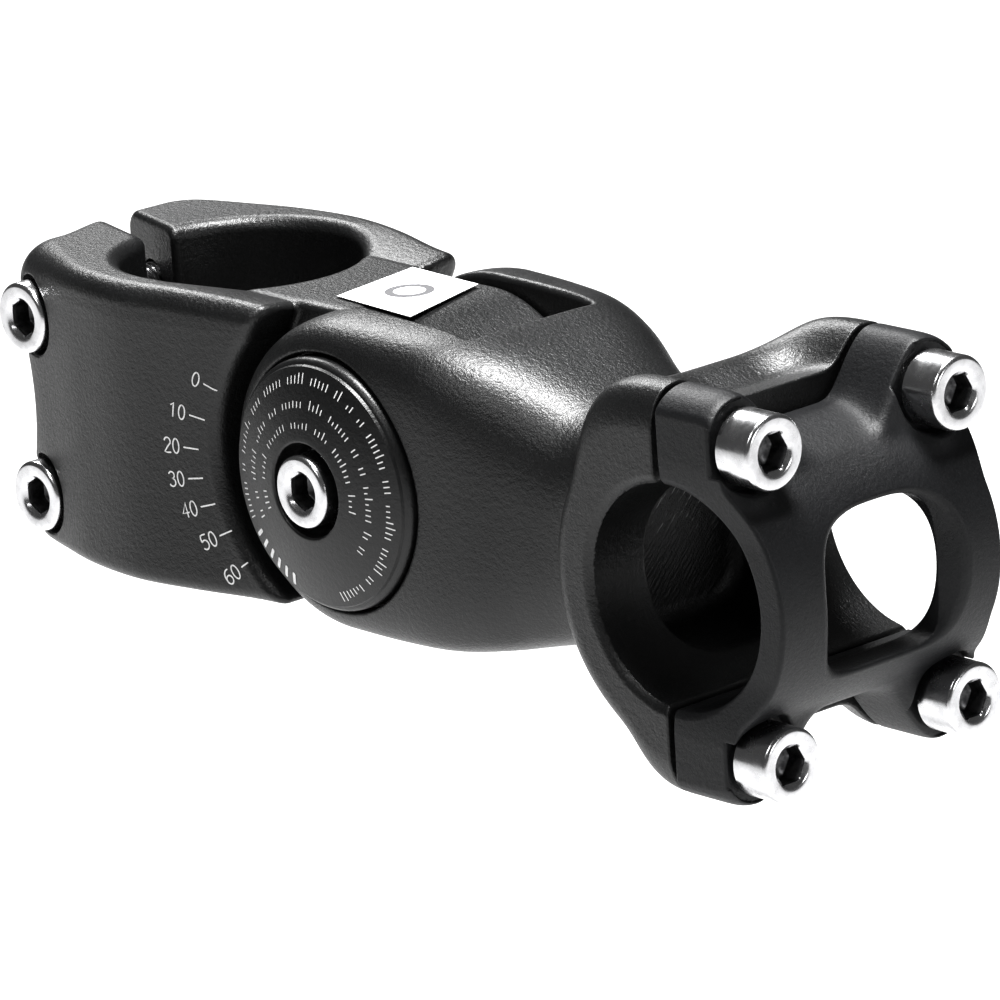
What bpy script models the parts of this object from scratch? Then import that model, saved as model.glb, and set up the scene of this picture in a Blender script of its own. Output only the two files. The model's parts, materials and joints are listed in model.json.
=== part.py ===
"""Adjustable-angle threadless bicycle stem, as an assembly of separate pieces.

Frame: +X points forward from the steerer tube to the handlebar, +Z up along the steerer tube, and -Y is
the rider's right. The origin is on the steerer axis, level with the pivot of the tilting arm.
"""

import math

import bpy
from mathutils import Vector

MM = 0.001
GAP = 0.3 * MM  # left between pieces that touch

# Steerer clamp
STEERER_RADIUS = 14.3 * MM
STEERER_RIM_CHAMFER = 0.8 * MM
STEERER_LIP_RADIUS = 17.0 * MM  # where the bore's soft upper lip meets the top face
CLAMP_TOP = 18.9 * MM
CLAMP_BOTTOM = -17.3 * MM
CLAMP_REAR_X = -27.0 * MM
CLAMP_EDGE = 2.6 * MM
SLIT_HALF_WIDTH = 1.7 * MM
SLIT_START = (-14.2 * MM, -0.4 * MM)  # where its middle leaves the bore
SLIT_SLANT = math.radians(15)  # it runs back and to the left
PINCH_X = -20.9 * MM
PINCH_Z = 11.0 * MM
PINCH_SEAT_Y = 12.2 * MM
REAR_HOLLOW_RADIUS = 14.0 * MM
REAR_HOLLOW_DEPTH = 3.6 * MM

# Pivot between clamp and arm
PIVOT_X = 34.0 * MM
SHOULDER_HALF_WIDTH = 16.0 * MM
TONGUE_HALF_WIDTH = 9.0 * MM
TONGUE_TOP = 17.8 * MM
TONGUE_RADIUS = 17.3 * MM
CHANNEL_HALF_WIDTH = 9.6 * MM  # the clamp's top dips to the tongue's between its shoulders
CHANNEL_SLOPE = 3.0 * MM
RELIEF_RADIUS = 20.2 * MM
EAR_RADIUS = 18.7 * MM
EAR_HALF_WIDTH = 18.0 * MM
EAR_SQUARENESS = 7.0
SLOT_HALF_WIDTH = TONGUE_HALF_WIDTH + 0.35 * MM
SLOT_REACH = 19.4 * MM  # radius about the pivot of the slot's end
SLOT_TOP_ANGLE = math.radians(32)  # above this the slot's end stands upright
TILT_MAX = math.radians(60)
TILT_STOP_GAP = 1.0 * MM
CAP_POCKET_Y = 15.0 * MM
CAP_RADIUS = 14.8 * MM
CAP_EDGE_Y = 17.9 * MM
CAP_RIM_Y = 21.1 * MM
CAP_BORE_RADIUS = 5.5 * MM
CAP_BORE_FLOOR_Y = 16.2 * MM
RING_RADIUS = 12.0 * MM
RING_BORE_RADIUS = 6.8 * MM
RING_DEPTH = 1.5 * MM
RING_TEETH = 12
SLEEVE_RADIUS = 6.0 * MM
SLEEVE_BORE_RADIUS = 2.9 * MM
PIVOT_BOLT_FACE_Y = 21.9 * MM

# Handlebar clamp
BAR_X = 91.0 * MM
BAR_Z = -3.0 * MM
BAR_RADIUS = 12.7 * MM
BAR_HALF_WIDTH = 18.6 * MM
BAR_BORE_CHAMFER = 1.4 * MM
REAR_RING_RADIUS = 19.3 * MM
FRONT_RING_RADIUS = 16.3 * MM
SEAM_BACK_X = -1.6 * MM  # measured from the bar's axis
SEAM_FRONT_X = -0.8 * MM
SEAT_X = 7.3 * MM
FRONT_LUG_X = 8.8 * MM
REAR_TOP_LUG_X = 15.5 * MM
REAR_LOWER_LUG_X = 10.5 * MM
LUG_Y = 14.1 * MM
LUG_Z = 17.5 * MM
LUG_RADIUS = 5.7 * MM
VALLEY_Z = 13.0 * MM
VALLEY_HALF_WIDTH = 3.0 * MM
SEAT_RADIUS = 5.3 * MM
WINDOW_HALF_WIDTH = 8.9 * MM
WINDOW_HALF_HEIGHT = 8.9 * MM

# M5 socket head screws
SCREW_HEAD_RADIUS = 4.25 * MM
SCREW_HEAD_HEIGHT = 5.0 * MM
SCREW_RADIUS = 2.4 * MM
SCREW_HOLE_RADIUS = 2.75 * MM
SOCKET_FLAT = 2.0 * MM  # half the 4 mm across flats
SOCKET_DEPTH = 3.0 * MM
FACEPLATE_SCREW_LENGTH = 15.0 * MM
PINCH_SCREW_LENGTH = 24.0 * MM
PIVOT_SCREW_LENGTH = 30.0 * MM

# Facets
SCREW_SIDES = 18
ROUND_SIDES = 48
EAR_STEPS = 14


def clear_scene():
    for obj in list(bpy.data.objects):
        bpy.data.objects.remove(obj, do_unlink=True)


def finish(name, colour, roughness, metallic):
    """A Principled material of one colour."""
    material = bpy.data.materials.new(name)
    material.use_nodes = True
    shader = material.node_tree.nodes["Principled BSDF"]
    shader.inputs["Base Color"].default_value = (*colour, 1.0)
    shader.inputs["Roughness"].default_value = roughness
    shader.inputs["Metallic"].default_value = metallic
    material.diffuse_color = (*colour, 1.0)
    return material


def ease(value, low, high):
    """0 below low, 1 above high and smooth between."""
    t = min(max((value - low) / (high - low), 0.0), 1.0)
    return (1 - math.cos(math.pi * t)) / 2


def place(obj, parent, location=(0.0, 0.0, 0.0), rotation=(0.0, 0.0, 0.0)):
    """Put an object at a world location under a parent empty that has no rotation."""
    obj.parent = parent
    obj.location = Vector(location) - (parent.location if parent else Vector())
    obj.rotation_euler = rotation


# Mesh building


def skin(name, loops, material, closed=False):
    """A solid through loops of equal length, or single points at its ends; closed joins last to first."""
    points = []
    starts = []
    for loop in loops:
        starts.append(len(points))
        points.extend(loop)
    faces = []
    pairs = list(zip(range(len(loops) - 1), range(1, len(loops))))
    if closed:
        pairs.append((len(loops) - 1, 0))
    for first, second in pairs:
        a, b = starts[first], starts[second]
        count = max(len(loops[first]), len(loops[second]))
        for i in range(count):
            j = (i + 1) % count
            if len(loops[first]) == 1:
                faces.append((a, b + j, b + i))
            elif len(loops[second]) == 1:
                faces.append((a + i, a + j, b))
            else:
                faces.append((a + i, a + j, b + j, b + i))
    if not closed and len(loops[0]) > 1:
        faces.append(tuple(range(len(loops[0]) - 1, -1, -1)))
    if not closed and len(loops[-1]) > 1:
        faces.append(tuple(starts[-1] + i for i in range(len(loops[-1]))))
    mesh = bpy.data.meshes.new(name)
    mesh.from_pydata(points, [], faces)
    mesh.validate()
    obj = bpy.data.objects.new(name, mesh)
    bpy.context.scene.collection.objects.link(obj)
    face_outwards(mesh)
    mesh.shade_smooth()
    mesh.set_sharp_from_angle(angle=math.radians(30))
    if material:
        mesh.materials.append(material)
    return obj


def face_outwards(mesh):
    """Turn every face if the mesh is inside out."""
    mesh.calc_loop_triangles()
    volume = 0.0
    for triangle in mesh.loop_triangles:
        a, b, c = (mesh.vertices[i].co for i in triangle.vertices)
        volume += a.dot(b.cross(c))
    if volume < 0:
        mesh.flip_normals()


def circle(radius, height, sides, axis="Z", centre=(0.0, 0.0, 0.0)):
    """A loop of points round an axis, at a height along it."""
    loop = []
    for i in range(sides):
        angle = 2 * math.pi * i / sides
        u, v = radius * math.cos(angle), radius * math.sin(angle)
        point = {"X": (height, u, v), "Y": (v, height, u), "Z": (u, v, height)}[axis]
        loop.append(Vector(centre) + Vector(point))
    return loop


def turned(name, profile, material, sides=ROUND_SIDES, axis="Z", centre=(0.0, 0.0, 0.0), closed=False):
    """A turned solid: profile is (radius, height) pairs; a radius of 0 ends it on the axis."""
    loops = []
    for radius, height in profile:
        loop = circle(radius, height, sides, axis, centre)
        loops.append(loop if radius > 0 else loop[:1])
    return skin(name, loops, material, closed)


def prism(name, outline, low, high, axis="Z", material=None):
    """An outline of (u, v) pairs extruded along an axis: u, v are X, Y for Z, X, Z for Y and Y, Z for X."""
    loops = []
    for height in (low, high):
        loop = []
        for u, v in outline:
            point = {"X": (height, u, v), "Y": (u, height, v), "Z": (u, v, height)}[axis]
            loop.append(Vector(point))
        loops.append(loop)
    return skin(name, loops, material)


def block(name, low, high):
    outline = [(low[0], low[1]), (high[0], low[1]), (high[0], high[1]), (low[0], high[1])]
    return prism(name, outline, low[2], high[2])


def curve_through(points, steps, closed=False):
    """Catmull-Rom points along a smooth curve through pairs of numbers."""
    count = len(points)
    found = []
    spans = count if closed else count - 1
    for i in range(spans):
        if closed:
            p = [points[(i + k) % count] for k in (-1, 0, 1, 2)]
        else:
            p = [points[min(max(i + k, 0), count - 1)] for k in (-1, 0, 1, 2)]
        for step in range(steps):
            t = step / steps
            found.append(tuple(catmull_rom([q[k] for q in p], t) for k in range(len(p[0]))))
    if not closed:
        found.append(tuple(points[-1]))
    return found


def catmull_rom(p, t):
    linear = (p[2] - p[0]) * t
    square = (2 * p[0] - 5 * p[1] + 4 * p[2] - p[3]) * t * t
    cube = (3 * p[1] - p[0] - 3 * p[2] + p[3]) * t * t * t
    return 0.5 * (2 * p[1] + linear + square + cube)


def boolean(obj, other, operation):
    modifier = obj.modifiers.new(operation.lower() + "_" + other.name, "BOOLEAN")
    modifier.operation = operation
    modifier.object = other
    other.hide_render = True
    other.display_type = "WIRE"


def cut(obj, *cutters):
    for cutter in cutters:
        boolean(obj, cutter, "DIFFERENCE")


def join(obj, *others):
    for other in others:
        boolean(obj, other, "UNION")


def bevel(obj, width, segments, angle=40):
    modifier = obj.modifiers.new("rounded_edges", "BEVEL")
    modifier.width = width
    modifier.segments = segments
    modifier.limit_method = "ANGLE"
    modifier.angle_limit = math.radians(angle)
    modifier.use_clamp_overlap = False


def hole(name, radius, low, high, axis, centre, sides=24):
    return turned(name, [(radius, low), (radius, high)], None, sides, axis, centre)


# Steerer clamp


def clamp_outline():
    """The clamp from above: round beside the bore, straight-sided towards the fork, narrower at the pinch lugs."""
    side = [(-27.0, 7.0), (-26.6, 11.2), (-23.9, 14.4), (-17.0, 16.8)]
    side += [(-9.0, 18.9), (0.0, 19.7), (9.0, 18.4), (18.0, 16.5)]
    right = [(x * MM, -y * MM) for x, y in side]
    left = [(x * MM, y * MM) for x, y in reversed(side)]
    front, width = 36.0 * MM, SHOULDER_HALF_WIDTH
    corner = [(front - 10 * MM, -width), (front, -width), (front, width), (front - 10 * MM, width)]
    return curve_through(right, 3) + corner + curve_through(left, 3)


def steerer_clamp(parent, material):
    body = prism("steerer_clamp", clamp_outline(), CLAMP_BOTTOM, CLAMP_TOP, material=material)
    bevel(body, CLAMP_EDGE, 3)
    pivot = (PIVOT_X, 0.0, 0.0)
    for side in (-1, 1):
        inner, outer = side * TONGUE_HALF_WIDTH, side * 30 * MM
        name = "right" if side < 0 else "left"
        cut(body, hole("ear_relief_" + name, RELIEF_RADIUS, min(inner, outer), max(inner, outer), "Y", pivot, 72))
        cut(body, block("ear_room_" + name, (PIVOT_X, min(inner, outer), -0.03), (0.06, max(inner, outer), 0.03)))
        cut(body, tilt_stop(name, inner, outer))
    cut(body, block("front_trim", (PIVOT_X - 5 * MM, -0.03, -0.03), (0.06, 0.03, 0.03)))
    cut(body, top_channel(), shoulder_slope())
    join(body, tongue())
    cut(body, steerer_bore(), rear_slit(), rear_hollow())
    for height in (-PINCH_Z, PINCH_Z):
        cut(body, *pinch_holes(height))
    cut(body, hole("sleeve_bore", SLEEVE_RADIUS + GAP, -0.02, 0.02, "Y", pivot))
    for side in (-1, 1):
        low, high = sorted((side * (TONGUE_HALF_WIDTH - RING_DEPTH), side * 0.02))
        name = "tongue_pocket_right" if side < 0 else "tongue_pocket_left"
        cut(body, hole(name, RING_RADIUS + GAP, low, high, "Y", pivot, 48))
    place(body, parent)
    return body


def tilt_stop(name, inner, outer):
    """Room in the clamp's shoulder for the arm's flat top at full tilt."""
    normal = Vector((-math.sin(TILT_MAX), math.cos(TILT_MAX)))
    along = Vector((math.cos(TILT_MAX), math.sin(TILT_MAX)))
    centre = Vector((PIVOT_X, 0.0))
    reach = EAR_RADIUS + TILT_STOP_GAP
    corners = [(0.0, 0.0), (0.0, reach), (0.05, reach), (0.05, 0.0)]
    outline = [tuple(centre + along * a + normal * b) for a, b in corners]
    return prism("tilt_stop_" + name, outline, min(inner, outer), max(inner, outer), "Y")


def tongue():
    """Flat above and below, and round about the pivot at its front."""
    outline = [(2 * MM, CLAMP_BOTTOM)]
    for i in range(21):
        angle = math.pi * (i / 20 - 0.5)
        height = TONGUE_TOP if angle > 0 else -CLAMP_BOTTOM
        outline.append((PIVOT_X + TONGUE_RADIUS * math.cos(angle), height * math.sin(angle)))
    outline.append((2 * MM, TONGUE_TOP))
    return prism("tongue", outline, -TONGUE_HALF_WIDTH, TONGUE_HALF_WIDTH, "Y")


def top_channel():
    """Between the clamp's shoulders its top face dips to the level of the tongue."""
    level, high = TONGUE_TOP, 30 * MM
    wide = CHANNEL_HALF_WIDTH + CHANNEL_SLOPE * (high - level) / (CLAMP_TOP - level)
    outline = [(-CHANNEL_HALF_WIDTH, level), (CHANNEL_HALF_WIDTH, level), (wide, high), (-wide, high)]
    return prism("top_channel", outline, 3 * MM, 60 * MM, "X")


def shoulder_slope():
    """The shoulders fall a little towards the fork."""
    start, end = 6 * MM, 30 * MM
    outline = [(start, CLAMP_TOP + 0.05 * MM), (end, TONGUE_TOP), (end, 30 * MM), (start, 30 * MM)]
    return prism("shoulder_slope", outline, -30 * MM, 30 * MM, "Y")


def steerer_bore():
    """The bore, chamfered below and with a soft lip above."""
    flare = STEERER_RADIUS + STEERER_RIM_CHAMFER
    lip = STEERER_LIP_RADIUS - STEERER_RADIUS
    profile = [
        (flare + 5 * MM, CLAMP_BOTTOM - 5 * MM),
        (flare, CLAMP_BOTTOM),
        (STEERER_RADIUS, CLAMP_BOTTOM + STEERER_RIM_CHAMFER),
        (STEERER_RADIUS, CLAMP_TOP - 1.5 * MM),
        (STEERER_RADIUS + 0.25 * lip, CLAMP_TOP - 0.7 * MM),
        (STEERER_RADIUS + 0.6 * lip, CLAMP_TOP - 0.2 * MM),
        (STEERER_LIP_RADIUS, CLAMP_TOP),
        (STEERER_LIP_RADIUS + 8 * MM, CLAMP_TOP + 0.8 * MM),
    ]
    return turned("steerer_bore", profile, None)


def rear_slit():
    """Slanting back to the left, with its right lip rounded away into the bore."""
    far_out = 26.0 * MM
    right_lip = [(3.5, 0.0), (1.5, 0.6), (0.0, 1.9), (-1.5, 4.3)]
    across = [(far_out, -SLIT_HALF_WIDTH)]
    across += [(along * MM, -SLIT_HALF_WIDTH - away * MM) for along, away in right_lip]
    across += [(-2.0 * MM, SLIT_HALF_WIDTH), (far_out, SLIT_HALF_WIDTH)]
    outline = []
    for along, side in across:
        x = SLIT_START[0] - along * math.cos(SLIT_SLANT) + side * math.sin(SLIT_SLANT)
        y = SLIT_START[1] + along * math.sin(SLIT_SLANT) + side * math.cos(SLIT_SLANT)
        outline.append((x, y))
    return prism("rear_slit", outline, -0.03, 0.03)


def rear_hollow():
    """The shallow hollow in the rear face between the two pinch screws."""
    centre = (CLAMP_REAR_X + REAR_HOLLOW_DEPTH - REAR_HOLLOW_RADIUS, 0.0, 0.0)
    return hole("rear_hollow", REAR_HOLLOW_RADIUS, -0.03, 0.03, "Y", centre, 40)


def pinch_holes(height):
    centre = (PINCH_X, 0.0, height)
    tag = "upper" if height > 0 else "lower"
    shank = hole("pinch_hole_" + tag, SCREW_HOLE_RADIUS, -0.03, 12.5 * MM, "Y", centre)
    seat = hole("pinch_seat_" + tag, SCREW_HEAD_RADIUS + 0.6 * MM, -0.03, -PINCH_SEAT_Y, "Y", centre)
    return shank, seat


# Tilting arm


def ellipse_section(x, half_width, top, bottom, power, sides=36):
    """A rounded-box section across the arm at x."""
    loop = []
    middle, half_height = (top + bottom) / 2, (top - bottom) / 2
    for i in range(sides):
        angle = 2 * math.pi * i / sides
        c, s = math.cos(angle), math.sin(angle)
        y = half_width * math.copysign(abs(c) ** (2 / power), c)
        z = middle + half_height * math.copysign(abs(s) ** (2 / power), s)
        loop.append(Vector((x, y, z)))
    return loop


def neck():
    """The arm from the pivot forward: x, half width, top, bottom and squareness of each section."""
    stations = [
        (34.0, 17.9, 18.6, -18.6, EAR_SQUARENESS - 0.6),
        (42.0, 18.1, 18.6, -19.0, 6.0),
        (49.0, 17.8, 18.2, -19.0, 5.2),
        (55.0, 16.6, 16.7, -18.3, 4.4),
        (61.0, 14.5, 14.1, -17.2, 3.6),
        (67.0, 13.0, 11.7, -16.2, 3.1),
        (73.0, 13.2, 11.7, -15.8, 3.0),
        (80.0, 14.0, 12.6, -16.0, 3.0),
    ]
    loops = []
    for x, half_width, top, bottom, power in curve_through(stations, 2):
        loops.append(ellipse_section(x * MM, half_width * MM, top * MM, bottom * MM, power))
    return skin("neck", loops, None)


def ear_drum(material):
    """Both ears as one drum about the pivot, before the slot parts them."""
    profile = [(0.0, -EAR_HALF_WIDTH)]
    for i in range(1, EAR_STEPS):
        angle = math.pi * (i / EAR_STEPS - 0.5)
        radius = EAR_RADIUS * math.cos(angle) ** (2 / EAR_SQUARENESS)
        height = math.copysign(EAR_HALF_WIDTH * abs(math.sin(angle)) ** (2 / EAR_SQUARENESS), angle)
        profile.append((radius, height))
    profile.append((0.0, EAR_HALF_WIDTH))
    return turned("tilt_arm", profile, material, ROUND_SIDES, "Y", (PIVOT_X, 0.0, 0.0))


def fork_slot():
    """Upright above the pivot, so that the clamp clears it at full tilt, and round about the pivot below."""
    outline = [(5 * MM, -0.03), (PIVOT_X, -0.03)]
    for i in range(25):
        angle = -math.pi / 2 + (math.pi / 2 + SLOT_TOP_ANGLE) * i / 24
        outline.append((PIVOT_X + SLOT_REACH * math.cos(angle), SLOT_REACH * math.sin(angle)))
    outline += [(PIVOT_X + SLOT_REACH * math.cos(SLOT_TOP_ANGLE), 0.03), (5 * MM, 0.03)]
    return prism("fork_slot", outline, -SLOT_HALF_WIDTH, SLOT_HALF_WIDTH, "Y")


def lug_height(y):
    """Height of the clamp's wavy top above the bar's axis: a lug over each screw and a valley between."""
    across = abs(y)
    if across >= LUG_Y:
        return LUG_Z + math.sqrt(max(LUG_RADIUS**2 - (across - LUG_Y) ** 2, 0.0))
    return VALLEY_Z + (LUG_Z + LUG_RADIUS - VALLEY_Z) * ease(across, VALLEY_HALF_WIDTH, LUG_Y)


def front_surface(angle, y):
    """Distance from the bar's axis to the faceplate: the larger of its ring and its lugs."""
    return ring_or_lug(angle, FRONT_RING_RADIUS, FRONT_LUG_X, lug_height(y), 10.0)


def rear_surface(angle, y):
    """The same for the arm's half, whose valley fills up towards the neck above and whose lower lugs are short."""
    behind_seam = abs(math.cos(angle))
    if math.sin(angle) < 0:
        return ring_or_lug(angle, REAR_RING_RADIUS, REAR_LOWER_LUG_X, lug_height(y), 3.0)
    full = min(lug_height(y), lug_height(LUG_Y)) if abs(y) > LUG_Y else lug_height(LUG_Y)
    height = lug_height(y) + (full - lug_height(y)) * ease(behind_seam, 0.1, 0.6)
    return ring_or_lug(angle, REAR_RING_RADIUS, REAR_TOP_LUG_X, height, 4.0)


def ring_or_lug(angle, ring, lug_x, lug_z, squareness):
    box = (abs(math.cos(angle)) / lug_x) ** squareness + (abs(math.sin(angle)) / lug_z) ** squareness
    box = box ** (-1 / squareness)
    return (ring**20 + box**20) ** (1 / 20)


def side_rounding(y, edge):
    """How far a rounded side edge pulls the surface in at y."""
    over = abs(y) - (BAR_HALF_WIDTH - edge)
    return edge - math.sqrt(max(edge**2 - max(over, 0.0) ** 2, 0.0))


def clamp_half(name, front, surface, edge, seam_x, sides=28):
    """Half of the handlebar clamp, skinned across from one side face to the other."""
    loops = []
    for y in clamp_stations(edge):
        reach = surface(math.pi / 2, y) - side_rounding(y, edge)
        start = math.acos(abs(seam_x) / reach)
        sweep = math.pi - start if front else start
        loop = []
        for i in range(sides + 1):
            angle = sweep * (2 * i / sides - 1) + (0.0 if front else math.pi)
            radius = surface(angle, y) - side_rounding(y, edge)
            x = seam_x if i in (0, sides) else radius * math.cos(angle)
            loop.append(Vector((BAR_X + x, y, BAR_Z + radius * math.sin(angle))))
        loops.append(loop)
    return skin(name, loops, None)


def clamp_stations(edge):
    """Places across the clamp, closer together where its side edges are rounded."""
    inner = BAR_HALF_WIDTH - edge
    half = [inner * i / 7 for i in range(8)]
    half += [inner + edge * math.sin(math.pi / 2 * i / 3) for i in range(1, 4)]
    return [-y for y in reversed(half) if y > 0] + half


def bar_bore(name):
    """The handlebar's hole with a chamfer at each side face."""
    flare = BAR_RADIUS + BAR_BORE_CHAMFER
    profile = [
        (flare + 5 * MM, -BAR_HALF_WIDTH - 5 * MM),
        (flare, -BAR_HALF_WIDTH),
        (BAR_RADIUS, BAR_BORE_CHAMFER - BAR_HALF_WIDTH),
        (BAR_RADIUS, BAR_HALF_WIDTH - BAR_BORE_CHAMFER),
        (flare, BAR_HALF_WIDTH),
        (flare + 5 * MM, BAR_HALF_WIDTH + 5 * MM),
    ]
    return turned(name, profile, None, ROUND_SIDES, "Y", (BAR_X, 0.0, BAR_Z))


def tilt_arm(parent, material):
    arm = ear_drum(material)
    join(arm, neck())
    rear = clamp_half("bar_clamp_rear", False, rear_surface, 1.3 * MM, SEAM_BACK_X)
    join(arm, rear)
    cut(arm, bar_bore("bar_bore_rear"), fork_slot())
    pivot = (PIVOT_X, 0.0, 0.0)
    for side in (-1, 1):
        tag = "right" if side < 0 else "left"
        low, high = sorted((side * CAP_POCKET_Y, side * 0.03))
        cut(arm, hole("cap_pocket_" + tag, CAP_RADIUS + GAP, low, high, "Y", pivot, ROUND_SIDES))
        low, high = sorted((side * 5 * MM, side * (SLOT_HALF_WIDTH + RING_DEPTH)))
        cut(arm, hole("ring_pocket_" + tag, RING_RADIUS + GAP, low, high, "Y", pivot, 48))
    cut(arm, hole("ear_bore", SLEEVE_RADIUS + GAP, -0.03, 0.03, "Y", pivot))
    for y, z, tag in screw_places():
        centre = (0.0, y, BAR_Z + z)
        end = BAR_X + SEAT_X - FACEPLATE_SCREW_LENGTH - 1 * MM
        cut(arm, hole("thread_hole_" + tag, SCREW_HOLE_RADIUS, end, 0.1, "X", centre, SCREW_SIDES))
    place_at_axis(arm, parent)
    return arm


def place_at_axis(obj, parent):
    """Parent a piece modelled in world coordinates to the tilt empty without moving it."""
    obj.parent = parent
    obj.location = -parent.location


def screw_places():
    for z, level in ((LUG_Z, "upper"), (-LUG_Z, "lower")):
        for y, side in ((-LUG_Y, "right"), (LUG_Y, "left")):
            yield y, z, level + "_" + side


def faceplate(parent, material):
    plate = clamp_half("faceplate", True, front_surface, 1.6 * MM, SEAM_FRONT_X)
    plate.data.materials.append(material)
    cut(plate, bar_bore("bar_bore_front"), window())
    for y, z, tag in screw_places():
        centre = (0.0, y, BAR_Z + z)
        seat = BAR_X + SEAT_X
        cut(plate, hole("screw_hole_" + tag, SCREW_HOLE_RADIUS, 0.08, 0.13, "X", centre, SCREW_SIDES))
        cut(plate, hole("screw_seat_" + tag, SEAT_RADIUS, seat, 0.13, "X", centre, 24))
    place_at_axis(plate, parent)
    return plate


def window():
    """A rounded opening, wider at the front, between the faceplate's two ribs."""
    loops = []
    for x, flare in ((0.09, 0.0), (BAR_X + 13.8 * MM, 0.0), (BAR_X + 20 * MM, 3.6 * MM)):
        loop = []
        for i in range(40):
            angle = 2 * math.pi * (i + 0.5) / 40
            c, s = math.cos(angle), math.sin(angle)
            y = (WINDOW_HALF_WIDTH + flare) * math.copysign(abs(c) ** 0.36, c)
            z = (WINDOW_HALF_HEIGHT + flare) * math.copysign(abs(s) ** 0.36, s)
            loop.append(Vector((x, y, BAR_Z + z)))
        loops.append(loop)
    return skin("window", loops, None)


# Fasteners


def hexagon(height):
    """The hex socket's outline with as many points as the screw has sides."""
    loop = []
    for i in range(SCREW_SIDES):
        angle = 2 * math.pi * i / SCREW_SIDES
        corner = (angle + math.pi / 6) % (math.pi / 3) - math.pi / 6
        radius = SOCKET_FLAT / math.cos(corner)
        loop.append(Vector((radius * math.cos(angle), radius * math.sin(angle), height)))
    return loop


def screw(name, length, material, parent, location, rotation):
    """A socket head screw whose origin is under its head, with its head along local +Z."""
    top = SCREW_HEAD_HEIGHT
    edge = 0.45 * MM
    loops = [[Vector((0.0, 0.0, -length))]]
    profile = [
        (SCREW_RADIUS - edge, -length),
        (SCREW_RADIUS, edge - length),
        (SCREW_RADIUS, 0.0),
        (SCREW_HEAD_RADIUS, 0.0),
        (SCREW_HEAD_RADIUS, top - edge),
        (SCREW_HEAD_RADIUS - edge * 0.3, top - edge * 0.3),
        (SCREW_HEAD_RADIUS - edge, top),
        (2.6 * MM, top),
    ]
    for radius, height in profile:
        loops.append(circle(radius, height, SCREW_SIDES))
    loops.append(hexagon(top - 0.3 * MM))
    loops.append(hexagon(top - SOCKET_DEPTH))
    loops.append([Vector((0.0, 0.0, top - SOCKET_DEPTH - 0.6 * MM))])
    obj = skin(name, loops, material)
    place(obj, parent, location, rotation)
    return obj


def washer(name, y, thickness, material, parent):
    """A flat ring about the pivot; its y is that of its outer face."""
    low, high = sorted((y, y - math.copysign(thickness, y)))
    profile = [(2.9 * MM, low), (4.9 * MM, low), (4.9 * MM, high), (2.9 * MM, high)]
    obj = turned(name, profile, material, 24, "Y", (PIVOT_X, 0.0, 0.0), closed=True)
    place_at_axis(obj, parent)
    return obj


# Pivot pieces


def pivot_cap(side, material, parent):
    """A domed disc with a counterbore for the cross screw's head or nut."""
    tag = "right" if side < 0 else "left"
    floor = CAP_POCKET_Y + GAP
    rise = CAP_RIM_Y - CAP_EDGE_Y
    dome = []
    for i in range(6):
        radius = CAP_RADIUS - 0.5 * MM - (CAP_RADIUS - 0.9 * MM - CAP_BORE_RADIUS) * i / 5
        fall = (radius**2 - CAP_BORE_RADIUS**2) / (CAP_RADIUS**2 - CAP_BORE_RADIUS**2)
        dome.append((radius, CAP_EDGE_Y + 0.4 * MM + (rise - 0.4 * MM) * (1 - fall)))
    profile = [(SCREW_HOLE_RADIUS, floor), (CAP_RADIUS, floor), (CAP_RADIUS, CAP_EDGE_Y)]
    profile += dome + [(CAP_BORE_RADIUS, CAP_RIM_Y - 0.4 * MM)]
    profile += [(CAP_BORE_RADIUS, CAP_BORE_FLOOR_Y), (SCREW_HOLE_RADIUS, CAP_BORE_FLOOR_Y)]
    profile = [(radius, side * y) for radius, y in profile]
    obj = turned("pivot_cap_" + tag, profile, material, ROUND_SIDES, "Y", (PIVOT_X, 0.0, 0.0), closed=True)
    place_at_axis(obj, parent)
    return obj


def pivot_nut(material, parent):
    """A flanged sleeve nut in the left cap, with a hex socket in its outer face."""
    face = PIVOT_BOLT_FACE_Y
    under = face - SCREW_HEAD_HEIGHT
    head_radius, sleeve_end = SCREW_HEAD_RADIUS, 13.0 * MM
    loops = [hexagon(face - SOCKET_DEPTH), hexagon(face - 0.3 * MM)]
    loops.insert(0, [Vector((0.0, 0.0, face - SOCKET_DEPTH - 0.6 * MM))])
    edge = 0.45 * MM
    for radius, height in (
        (2.6 * MM, face),
        (head_radius - edge, face),
        (head_radius, face - edge),
        (head_radius, under),
        (SCREW_RADIUS, under),
        (SCREW_RADIUS, sleeve_end),
    ):
        loops.append(circle(radius, height, SCREW_SIDES))
    obj = skin("pivot_nut", loops, material)
    place(obj, parent, (PIVOT_X, 0.0, 0.0), (math.radians(-90), 0.0, 0.0))
    return obj


def pivot_sleeve(material, parent):
    """The bushing that carries the tilt, through the tongue and into both ears."""
    end = CAP_POCKET_Y - 0.2 * MM
    profile = [
        (SLEEVE_BORE_RADIUS, -end),
        (SLEEVE_RADIUS, -end),
        (SLEEVE_RADIUS, end),
        (SLEEVE_BORE_RADIUS, end),
    ]
    obj = turned("pivot_sleeve", profile, material, 24, "Y", (PIVOT_X, 0.0, 0.0), closed=True)
    place(obj, parent)
    return obj


def grip_ring(name, base, face, material):
    """A ring with radial grooves in its face, which grips the ring opposite it."""
    depth = math.copysign(0.4 * MM, face - base)
    loops = []
    corners = ((RING_BORE_RADIUS, False), (RING_RADIUS, False), (RING_RADIUS, True), (RING_BORE_RADIUS, True))
    for radius, groove in corners:
        loop = []
        for i in range(RING_TEETH * 2):
            angle = 2 * math.pi * i / (RING_TEETH * 2)
            height = (face - depth * (i % 2)) if groove else base
            point = (PIVOT_X + radius * math.sin(angle), height, radius * math.cos(angle))
            loop.append(Vector(point))
        loops.append(loop)
    return skin(name, loops, material, closed=True)


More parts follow.
